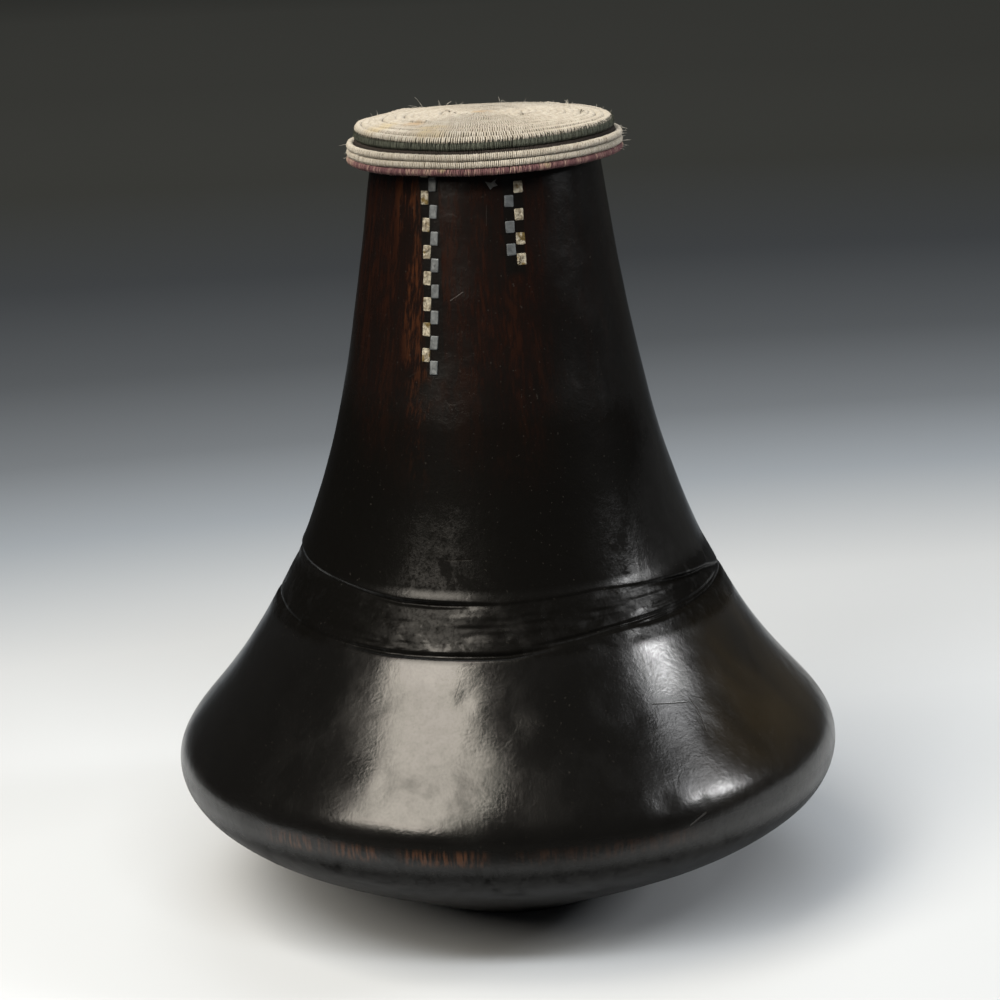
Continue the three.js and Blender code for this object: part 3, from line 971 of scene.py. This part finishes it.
def lidSections():
    # where the crown and the wall lie in the half section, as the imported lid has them, in millimetres
    below = lid.skirtDrop + (lid.sideLoops + lid.rimLoops) * lid.coilPitch
    neck = bezier(outlineCurves()[3], 800)
    neckAtSkirt = np.interp(vessel.mouthHeight - below, neck[:, 1], neck[:, 0])
    wall = float(neckAtSkirt + lid.play + lid.packedCoilRadius)
    crown = [(0, lid.crownRise), (wall - lid.crownEdge, lid.crownRise), (wall, lid.crownDrop), (wall, 0)]
    fine = bezier(crown, 800)
    atLip = np.interp(vessel.mouthRadius - vessel.mouthWall / 2, fine[:, 0], fine[:, 1])
    top = vessel.mouthHeight + lid.restGap + lid.packedCoilRadius - atLip
    length = np.hypot(*np.diff(fine, axis=0).T).sum()
    return SimpleNamespace(crown=crown, length=float(length), wall=wall, top=float(top))


lidPlan = lidSections()


class GeometryTree(Tree):
    # a Geometry Nodes tree whose inputs are named and set once on the modifier
    def __init__(self, name, inputs):
        group = bpy.data.node_groups.new(name, "GeometryNodeTree")
        super().__init__(group)
        self.values = {}
        group.interface.new_socket("Geometry", in_out="OUTPUT", socket_type="NodeSocketGeometry")
        kinds = {float: "NodeSocketFloat", int: "NodeSocketInt", tuple: "NodeSocketVector"}
        for inputName, value in inputs.items():
            kind = kinds.get(type(value), "NodeSocketMaterial")
            socket = group.interface.new_socket(inputName, in_out="INPUT", socket_type=kind)
            self.values[socket.identifier] = value
        self.entry = group.nodes.new("NodeGroupInput")

    def input(self, name):
        return Field(self, self.entry.outputs[name])

    def geo(self, kind, sockets, settings=None, output=0):
        return self.node("GeometryNode" + kind, settings, sockets, output)

    def store(self, geometry, name, value, kind="FLOAT", domain="POINT"):
        sockets = {"Geometry": geometry, "Name": name, "Value": value}
        return self.geo("StoreNamedAttribute", sockets, {"data_type": kind, "domain": domain})

    def build(self, name):
        # the evaluated result as a plain mesh, with no modifier left
        carrier = bpy.data.objects.new(name, bpy.data.meshes.new(name))
        modifier = carrier.modifiers.new("nodes", "NODES")
        modifier.node_group = self.nodeTree
        for identifier, value in self.values.items():
            modifier[identifier] = value
        return plainMesh(carrier)


def coilTree(name, section, lengths, turns, strandFinish, shadedCoreFinish):
    every, width, thickness, bite, lean, unruly, seed = stitchesOf[name]
    corners = ("sectionStart", "sectionHandleA", "sectionHandleB", "sectionEnd")
    inputs = {corner: (x * mm, 0.0, z * mm) for corner, (x, z) in zip(corners, section)}
    inputs |= {
        "firstLength": lengths[0] * mm,
        "lastLength": lengths[1] * mm,
        "firstTurn": float(turns[0]),
        "lastTurn": float(turns[1]),
        "wallTop": lidPlan.top * mm,
        "coilRadius": lid.coilRadius * mm,
        "stitchEvery": every * mm,
        "stitchWidth": width * mm,
        "stitchThickness": thickness * mm,
        "bite": float(bite),
        "ripple": lid.ripple * mm,
        "lean": math.radians(lean),
        "unruly": math.radians(unruly),
        "seed": seed,
        "strand": strandFinish,
    }
    if shadedCoreFinish:
        inputs["core"] = shadedCoreFinish
    t = GeometryTree(name, inputs)
    get = t.input
    stepsPerTurn = 72
    steps = int((turns[1] - turns[0]) * stepsPerTurn) + 1

    # the coil's middle line: out along the section while it turns about the axis
    line = t.geo("CurvePrimitiveLine", {"End": (1.0, 0.0, 0.0)})
    line = t.geo("ResampleCurve", {"Curve": line, "Count": steps})
    along = t.geo("SplineParameter", None, output="Factor")
    halfSection = t.geo("CurvePrimitiveBezierSegment", {
        "Resolution": 256, "Start": get("sectionStart"), "Start Handle": get("sectionHandleA"),
        "End Handle": get("sectionHandleB"), "End": get("sectionEnd"),
    })
    reach = get("firstLength") + along * (get("lastLength") - get("firstLength"))
    sampled = {"Curves": halfSection, "Length": reach}
    byLength = {"mode": "LENGTH", "data_type": "FLOAT"}
    radius, _, level = t.axes(t.geo("SampleCurve", sampled, byLength, "Position"))
    leadOut, _, leadUp = t.axes(t.geo("SampleCurve", sampled, byLength, "Tangent"))
    turned = get("firstTurn") + along * (get("lastTurn") - get("firstTurn"))
    turn = math.pi / 2 - turned * (2 * math.pi)
    cosine, sine = turn.math("COSINE"), turn.math("SINE")
    path = t.combine(cosine * 1.3, sine * 1.3, turn * 0.03)
    wander = t.node("ShaderNodeTexNoise", None, {"Vector": path, "Scale": 1.7, "Detail": 1.0})
    height = level + get("wallTop") + (wander - 0.5) * get("ripple")
    middle = t.combine(radius * cosine, radius * sine, height)
    coil = t.geo("SetPosition", {"Geometry": line, "Position": middle})
    back = t.combine(leadOut * cosine * -1.0, leadOut * sine * -1.0, leadUp * -1.0)
    coil = t.store(coil, "towardsPrevious", back, "FLOAT_VECTOR")
    coil = t.store(coil, "runShare", along)

    # one stitch: a flat strand round the coil, drawn out into the turn before
    ring = t.geo("CurvePrimitiveCircle", {"Resolution": 8, "Radius": get("coilRadius")})
    px, py, _ = t.axes(t.geo("InputPosition", None))
    reachOver = (px / get("coilRadius") * 3.0).math("MINIMUM", 1.0).math("MAXIMUM", 0.0)
    drawn = px + reachOver * get("bite") * get("coilRadius")
    ring = t.geo("SetPosition", {"Geometry": ring, "Position": t.combine(drawn, py)})
    strand = t.geo("CurvePrimitiveCircle", {"Resolution": 3, "Radius": 1.0})
    flat = t.combine(get("stitchThickness") * 0.5, get("stitchWidth") * 0.5, 1.0)
    strand = t.geo("Transform", {"Geometry": strand, "Scale": flat})
    stitch = t.geo("CurveToMesh", {"Curve": ring, "Profile Curve": strand})

    # a stitch at every step of the coil, each a little different
    def chance(low, high, offset):
        # sockets 2, 3 and 8 are the number's least and most, and the seed
        sockets = {2: low, 3: high, 8: get("seed") + float(offset)}
        return t.node("FunctionNodeRandomValue", {"data_type": "FLOAT"}, sockets, 1)

    spots = t.geo("ResampleCurve", {"Curve": coil, "Length": get("stitchEvery")}, {"mode": "LENGTH"})
    previous = t.geo("InputNamedAttribute", {"Name": "towardsPrevious"}, {"data_type": "FLOAT_VECTOR"})
    axes = {"Primary Axis": t.geo("InputTangent", None), "Secondary Axis": previous}
    facing = t.node("FunctionNodeAxesToRotation", {"primary_axis": "Z", "secondary_axis": "X"}, axes)
    leaned = t.combine(chance(-0.05, 0.05, 2), get("lean") + chance(-1.0, 1.0, 1) * get("unruly"))
    rotations = {"Rotation": facing, "Rotate By": leaned}
    rotated = t.node("FunctionNodeRotateRotation", {"rotation_space": "LOCAL"}, rotations)
    size = t.combine(chance(0.95, 1.06, 3), chance(0.95, 1.06, 4), chance(0.82, 1.08, 5))
    stitched = t.geo("InstanceOnPoints", {
        "Points": spots, "Instance": stitch, "Rotation": rotated, "Scale": size,
    })
    stitched = t.store(stitched, "strandTone", chance(0.0, 1.0, 6), domain="INSTANCE")
    stitched = t.geo("RealizeInstances", {"Geometry": stitched})
    stitched = t.geo("SetMaterial", {"Geometry": stitched, "Material": get("strand")})
    whole = t.geo("JoinGeometry", {"Geometry": stitched})
    if shadedCoreFinish:
        # the bundle inside, a little thinner than the wrapping and coloured darker than it: painted shade in
        # the gaps between stitches
        bundle = t.geo("CurvePrimitiveCircle", {"Resolution": 6, "Radius": get("coilRadius") * 0.86})
        core = t.geo("CurveToMesh", {"Curve": coil, "Profile Curve": bundle, "Fill Caps": True})
        core = t.geo("SetMaterial", {"Geometry": core, "Material": get("core")})
        t.nodeTree.links.new(core.socket, whole.socket.node.inputs[0])
    smooth = t.geo("SetShadeSmooth", {"Geometry": whole})
    t.node("NodeGroupOutput", None, {"Geometry": smooth})
    return t


def fibreMaterial(name, light, dark, tint=None, tintSpots=(0.6, 0.7), stains=(), shadedLaterTurns=None):
    # dry plant fibre: each strand has its own tone, with fine threads along it, darker where the threads' bump
    # is low
    material, tree = newMaterial(name)
    tone = tree.node("ShaderNodeAttribute", {"attribute_name": "strandTone"}, None, "Fac")
    blotches = tree.noise(140, 3.0, 0.6)
    threads = tree.noise(2600, 2.0, 0.6)
    mixed = tone * 0.55 + blotches * 0.45
    colour = tree.mix(tree.between(mixed, 0.25, 0.75), dark, light)
    # painted shade: the later turn, tucked under the skirt, takes a darker, browner colour
    if shadedLaterTurns:
        share = tree.node("ShaderNodeAttribute", {"attribute_name": "runShare"}, None, "Fac")
        colour = tree.mix(tree.between(share, 0.46, 0.50), colour, shadedLaterTurns)
    # darker where the threads' bump is low
    darkerInThreadHollows = tuple(c * 0.45 for c in dark)
    colour = tree.mix(tree.between(threads, 0.35, 0.6, 0.35, 0.0), colour, darkerInThreadHollows)
    if tint:
        patches = tree.noise(200, 3.0, 0.65)
        colour = tree.mix(tree.between(patches * 0.6 + tone * 0.4, *tintSpots, 0.0, 0.85), colour, tint)
    for point, radius, stain in stains:
        stained = tree.near(point, radius) * tree.between(blotches, 0.35, 0.60, 0.15, 0.75)
        colour = tree.mix(stained, colour, stain)
    normal = tree.bump(threads, 0.00012, 0.6)
    finishMaterial(tree, Base_Color=colour, Roughness=0.78, Normal=normal, Specular_IOR_Level=0.35)
    return material


fibreColours = {
    "cream": ((0.43, 0.392, 0.33), (0.36, 0.322, 0.262)),
    # bundle colours, darker than the wrappings: painted shade seen through the gaps between stitches
    "creamCoreGapShade": ((0.16, 0.12, 0.07), (0.09, 0.065, 0.035)),
    "dark": ((0.070, 0.076, 0.058), (0.040, 0.044, 0.033)),
    # the lower dark turn: painted shade under the skirt, browner as well
    "darkLaterShaded": (0.022, 0.016, 0.013),
    "teeth": ((0.026, 0.028, 0.018), (0.012, 0.013, 0.009)),
    "darkCoreGapShade": ((0.012, 0.012, 0.009), (0.006, 0.006, 0.004)),
    "maroon": ((0.165, 0.080, 0.082), (0.100, 0.046, 0.050)),
    "maroonCoreGapShade": ((0.06, 0.03, 0.025), (0.03, 0.015, 0.012)),
    "paleMaroon": (0.34, 0.25, 0.19),
    "startKnot": (0.33, 0.23, 0.13),
    "yellowed": (0.38, 0.31, 0.19),
    "hair": (0.50, 0.47, 0.40),
}
startKnot = {"radius": 1.5, "thickness": 1.15, "uneven": 0.12, "rows": 8, "columns": 14, "seed": 12}


def onLid(azimuth, radius, height):
    # a place on the lid in millimetres; height counts from the top of its wall
    return around(radius, math.radians(azimuth), lidPlan.top + height)


def sunkShare(turn):
    # how far the lid has sunk at a turn: 1 at its lowest place and 0 behind
    return np.clip(np.cos(turn - math.radians(lid.sunkAzimuth)), 0, 1) ** lid.sunkFade


def sinkFront(mesh, drop):
    # lowers what lies outside the mouth, most at the front
    count = len(mesh.vertices)
    spots = np.empty(count * 3)
    mesh.vertices.foreach_get("co", spots)
    spots = spots.reshape(count, 3)
    radius = np.hypot(spots[:, 0], spots[:, 1]) / mm
    outside = ramp(radius - vessel.mouthRadius, lidPlan.wall - vessel.mouthRadius)
    spots[:, 2] -= drop * mm * outside * sunkShare(np.arctan2(spots[:, 0], -spots[:, 1]))
    mesh.vertices.foreach_set("co", spots.ravel())
    mesh.update()


def makeStartKnot(finish):
    # the folded end of the bundle that the first turn is wound round
    k = SimpleNamespace(**startKnot)
    draw = np.random.default_rng(k.seed)
    points = [(0, 0, -k.thickness)]
    for row in range(1, k.rows):
        bend = math.pi * row / k.rows
        for column in range(k.columns):
            turn = 2 * math.pi * column / k.columns
            reach = math.sin(bend) * k.radius * (1 + k.uneven * draw.uniform(-1, 1))
            points.append((reach * math.cos(turn), reach * math.sin(turn), -math.cos(bend) * k.thickness))
    points.append((0, 0, k.thickness))
    last = len(points) - 1
    faces = fan(0, 1, k.columns, under=True) + ringFaces(1, k.columns, k.rows - 1)
    faces += fan(last, last - k.columns, k.columns)
    points = (np.array(points) + (0, 0, lidPlan.top + lid.crownRise)) * mm
    place("start_knot", smoothMesh("start_knot", points, faces, finish), "lid", slot="cream_fibre")


def makeLid():
    c, wall, pitch = fibreColours, lidPlan.wall, lid.coilPitch
    side, loops = lid.sideLoops, lid.sideLoops + lid.rimLoops
    skirtRadius, skirtTop = wall + pitch, lid.skirtDrop + lid.skirtSettle

    def onRim(azimuths, radius, colour):
        height = -skirtTop - lid.skirtPitch * (loops - 0.5)
        return [(onLid(azimuth, skirtRadius + 1, height), radius, colour) for azimuth in azimuths]

    stains = [
        ((0, 0, lidPlan.top + lid.crownRise), 6.0, c["startKnot"]),
        (onLid(-27, wall - 6, 2.5), 9.0, c["yellowed"]),
        (onLid(-62, wall - 5, 2.0), 8.0, c["yellowed"]),
        (onLid(-48, wall - 12, 3.0), 6.0, c["startKnot"]),
    ]
    # yellowed spots round the rim, and two broad paler patches at its far left and right
    rimSpotsAndPaleSides = onRim((-17.6, 25.6, 140, -120), 1.7, c["yellowed"]) + onRim((-84, 96), 14.0, c["paleMaroon"])
    cream = fibreMaterial("cream_fibre", *c["cream"], stains=stains)
    # the bundles are darker than their wrappings: painted shade in the gaps between stitches
    creamCoreGapShade = fibreMaterial("cream_bundle_gap_shade", *c["creamCoreGapShade"])
    dark = fibreMaterial("dark_fibre", *c["dark"], shadedLaterTurns=c["darkLaterShaded"])
    teeth = fibreMaterial("dark_teeth_fibre", *c["teeth"])
    darkCoreGapShade = fibreMaterial("dark_bundle_gap_shade", *c["darkCoreGapShade"])
    fade = {"tint": c["paleMaroon"], "tintSpots": (0.50, 0.84)}
    maroon = fibreMaterial("maroon_fibre", *c["maroon"], **fade, stains=rimSpotsAndPaleSides)
    maroonCoreGapShade = fibreMaterial("maroon_bundle_gap_shade", *c["maroonCoreGapShade"])

    def straight(x0, z0, x1, z1):
        return [(x0 + (x1 - x0) * k / 3, z0 + (z1 - z0) * k / 3) for k in range(4)]

    skirtEnd = (skirtRadius + lid.skirtFlare * loops, -skirtTop - lid.skirtPitch * loops)
    skirt = straight(skirtRadius, -skirtTop, *skirtEnd)
    skirtLength = math.dist(skirt[0], skirt[3])
    sideLength = skirtLength / loops * side
    darkLength = pitch * lid.darkLoops
    upright = straight(wall, 0, wall, -darkLength)
    crownLoops = math.floor((lidPlan.length - pitch / 2) / pitch)

    # each run: its section, lengths along it, turns and finishes, how far it sinks, its node and slot
    runs = {
        "crown_coil": (lidPlan.crown, (pitch / 2, lidPlan.length), (0, crownLoops), cream, creamCoreGapShade,
                       lid.sunkEdge, ["lid_crown_coil"], "cream_fibre"),
        "dark_coil": (upright, (0, darkLength), (0, lid.darkLoops), dark, darkCoreGapShade,
                      lid.sunkEdge, ["lid_dark_coil"], "dark_fibre"),
        "dark_teeth": (upright, (0, pitch), (0, 1), teeth, None, lid.sunkEdge, [], "dark_fibre"),
        "side_coil": (skirt, (0, sideLength), (0, side), cream, creamCoreGapShade,
                      lid.sunkSkirt, ["lid_side_coil"], "cream_fibre"),
        "rim_coil": (skirt, (sideLength, skirtLength), (side, loops), maroon, maroonCoreGapShade,
                     lid.sunkSkirt, ["lid_rim_coil"], "maroon_fibre"),
    }
    for name, (*run, drop, nodes, slot) in runs.items():
        mesh = coilTree(name, *run).build(name)
        mesh.name = name
        sinkFront(mesh, drop)
        place(name, mesh, "lid", *nodes, slot=slot)
        print(name, "has", sum(len(p.vertices) - 2 for p in mesh.polygons), "triangles")
    makeStartKnot(cream)


# Loose ends of fibre that stand out of the coils: azimuth, how far out along the crown from its
# centre (1 is the wall, more is down the skirt), length in millimetres, lean along the coil, curl

looseEnds = {
    "seen": [
        (-151, 0.93, 6.0, 0.3, 0.2), (-150, 0.93, 4.5, 0.9, 0.5), (-122, 0.97, 3.0, -0.4, 0.3),
        (-118, 0.97, 2.2, 0.3, 0.2), (168, 0.90, 3.0, 0.8, 0.2), (165, 0.90, 2.4, -0.9, 0.2),
        (139, 0.95, 3.6, -0.7, 0.3), (137, 0.95, 3.2, -0.2, 0.3), (136, 0.95, 3.4, 0.5, 0.4),
        (131, 0.95, 9.5, 1.6, -1.1), (115, 0.98, 2.4, 0.3, 0.2), (-88, 1.25, 2.6, 0.2, 0.4),
        (90, 1.60, 3.2, 0.0, 0.1), (84, 1.50, 2.2, 0.5, 0.3), (96, 1.45, 2.0, -0.5, 0.3),
        (88, 1.75, 2.4, 0.4, -0.5), (80, 1.70, 2.0, -0.6, -0.4), (93, 1.30, 2.2, 0.2, 0.5),
        (76, 1.75, 1.8, 0.3, -0.6), (-80, 1.70, 1.8, 0.4, -0.4),
    ],
    # the others are drawn: how many, and each value's least and most in the same order
    "count": 90,
    "others": [(-180, 180), (0.3, 1.75), (0.8, 2.6), (-1.2, 1.2), (-0.6, 0.6)],
    "thickness": 0.075,
    "steps": 7,
    "seed": 9,
}


def makeLooseEnds():
    e = SimpleNamespace(**looseEnds)
    draw = np.random.default_rng(e.seed)
    others = [tuple(draw.uniform(*limits) for limits in e.others) for _ in range(e.count)]
    crown = bezier(lidPlan.crown, 200)
    skirtDepth = lid.skirtPitch * (lid.sideLoops + lid.rimLoops - 0.5)
    upright = Vector((0, 0, 1))
    lines = bpy.data.curves.new("loose_fibre_lines", "CURVE")
    lines.dimensions = "3D"
    lines.bevel_depth, lines.bevel_resolution = e.thickness * mm, 0
    for azimuth, reach, length, lean, curl in e.seen + others:
        turn = math.radians(azimuth)
        out, aside = Vector(around(1, turn, 0)), Vector((math.cos(turn), math.sin(turn), 0))
        if reach <= 1:
            radius, height = crown[int(reach * 199)]
            height += lid.coilRadius
            lead = out * 0.25 + upright
        else:
            radius = lidPlan.wall + lid.coilPitch + lid.coilRadius
            height = -lid.skirtDrop - (reach - 1) / 0.75 * skirtDepth - lid.sunkSkirt * sunkShare(turn)
            lead = out + upright * 0.15
        start = out * radius + upright * (lidPlan.top + height - 0.1)
        lead = (lead + aside * lean).normalized()
        bend = (aside * curl - upright * (abs(curl) * 0.5)) * length
        spline = lines.splines.new("POLY")
        spline.points.add(e.steps - 1)
        for k, point in enumerate(spline.points):
            t = k / (e.steps - 1)
            point.co = (*((start + lead * length * t + bend * t * t) * mm), 1)
            point.radius = 1 - 0.5 * t
    mesh = plainMesh(bpy.data.objects.new("loose_fibre_lines", lines))
    material, tree = newMaterial("loose_fibre")
    hair = fibreColours["hair"]
    tone = tree.between(tree.noise(300, 2.0, 0.5), 0.35, 0.65)
    colour = tree.mix(tone, tuple(v * 0.45 for v in hair), hair)
    finishMaterial(tree, Base_Color=colour, Roughness=0.6)
    mesh.materials.clear()
    mesh.materials.append(material)
    place("loose_ends", mesh, "lid", slot="cream_fibre")


makeLid()
makeLooseEnds()
print("lid coiled")
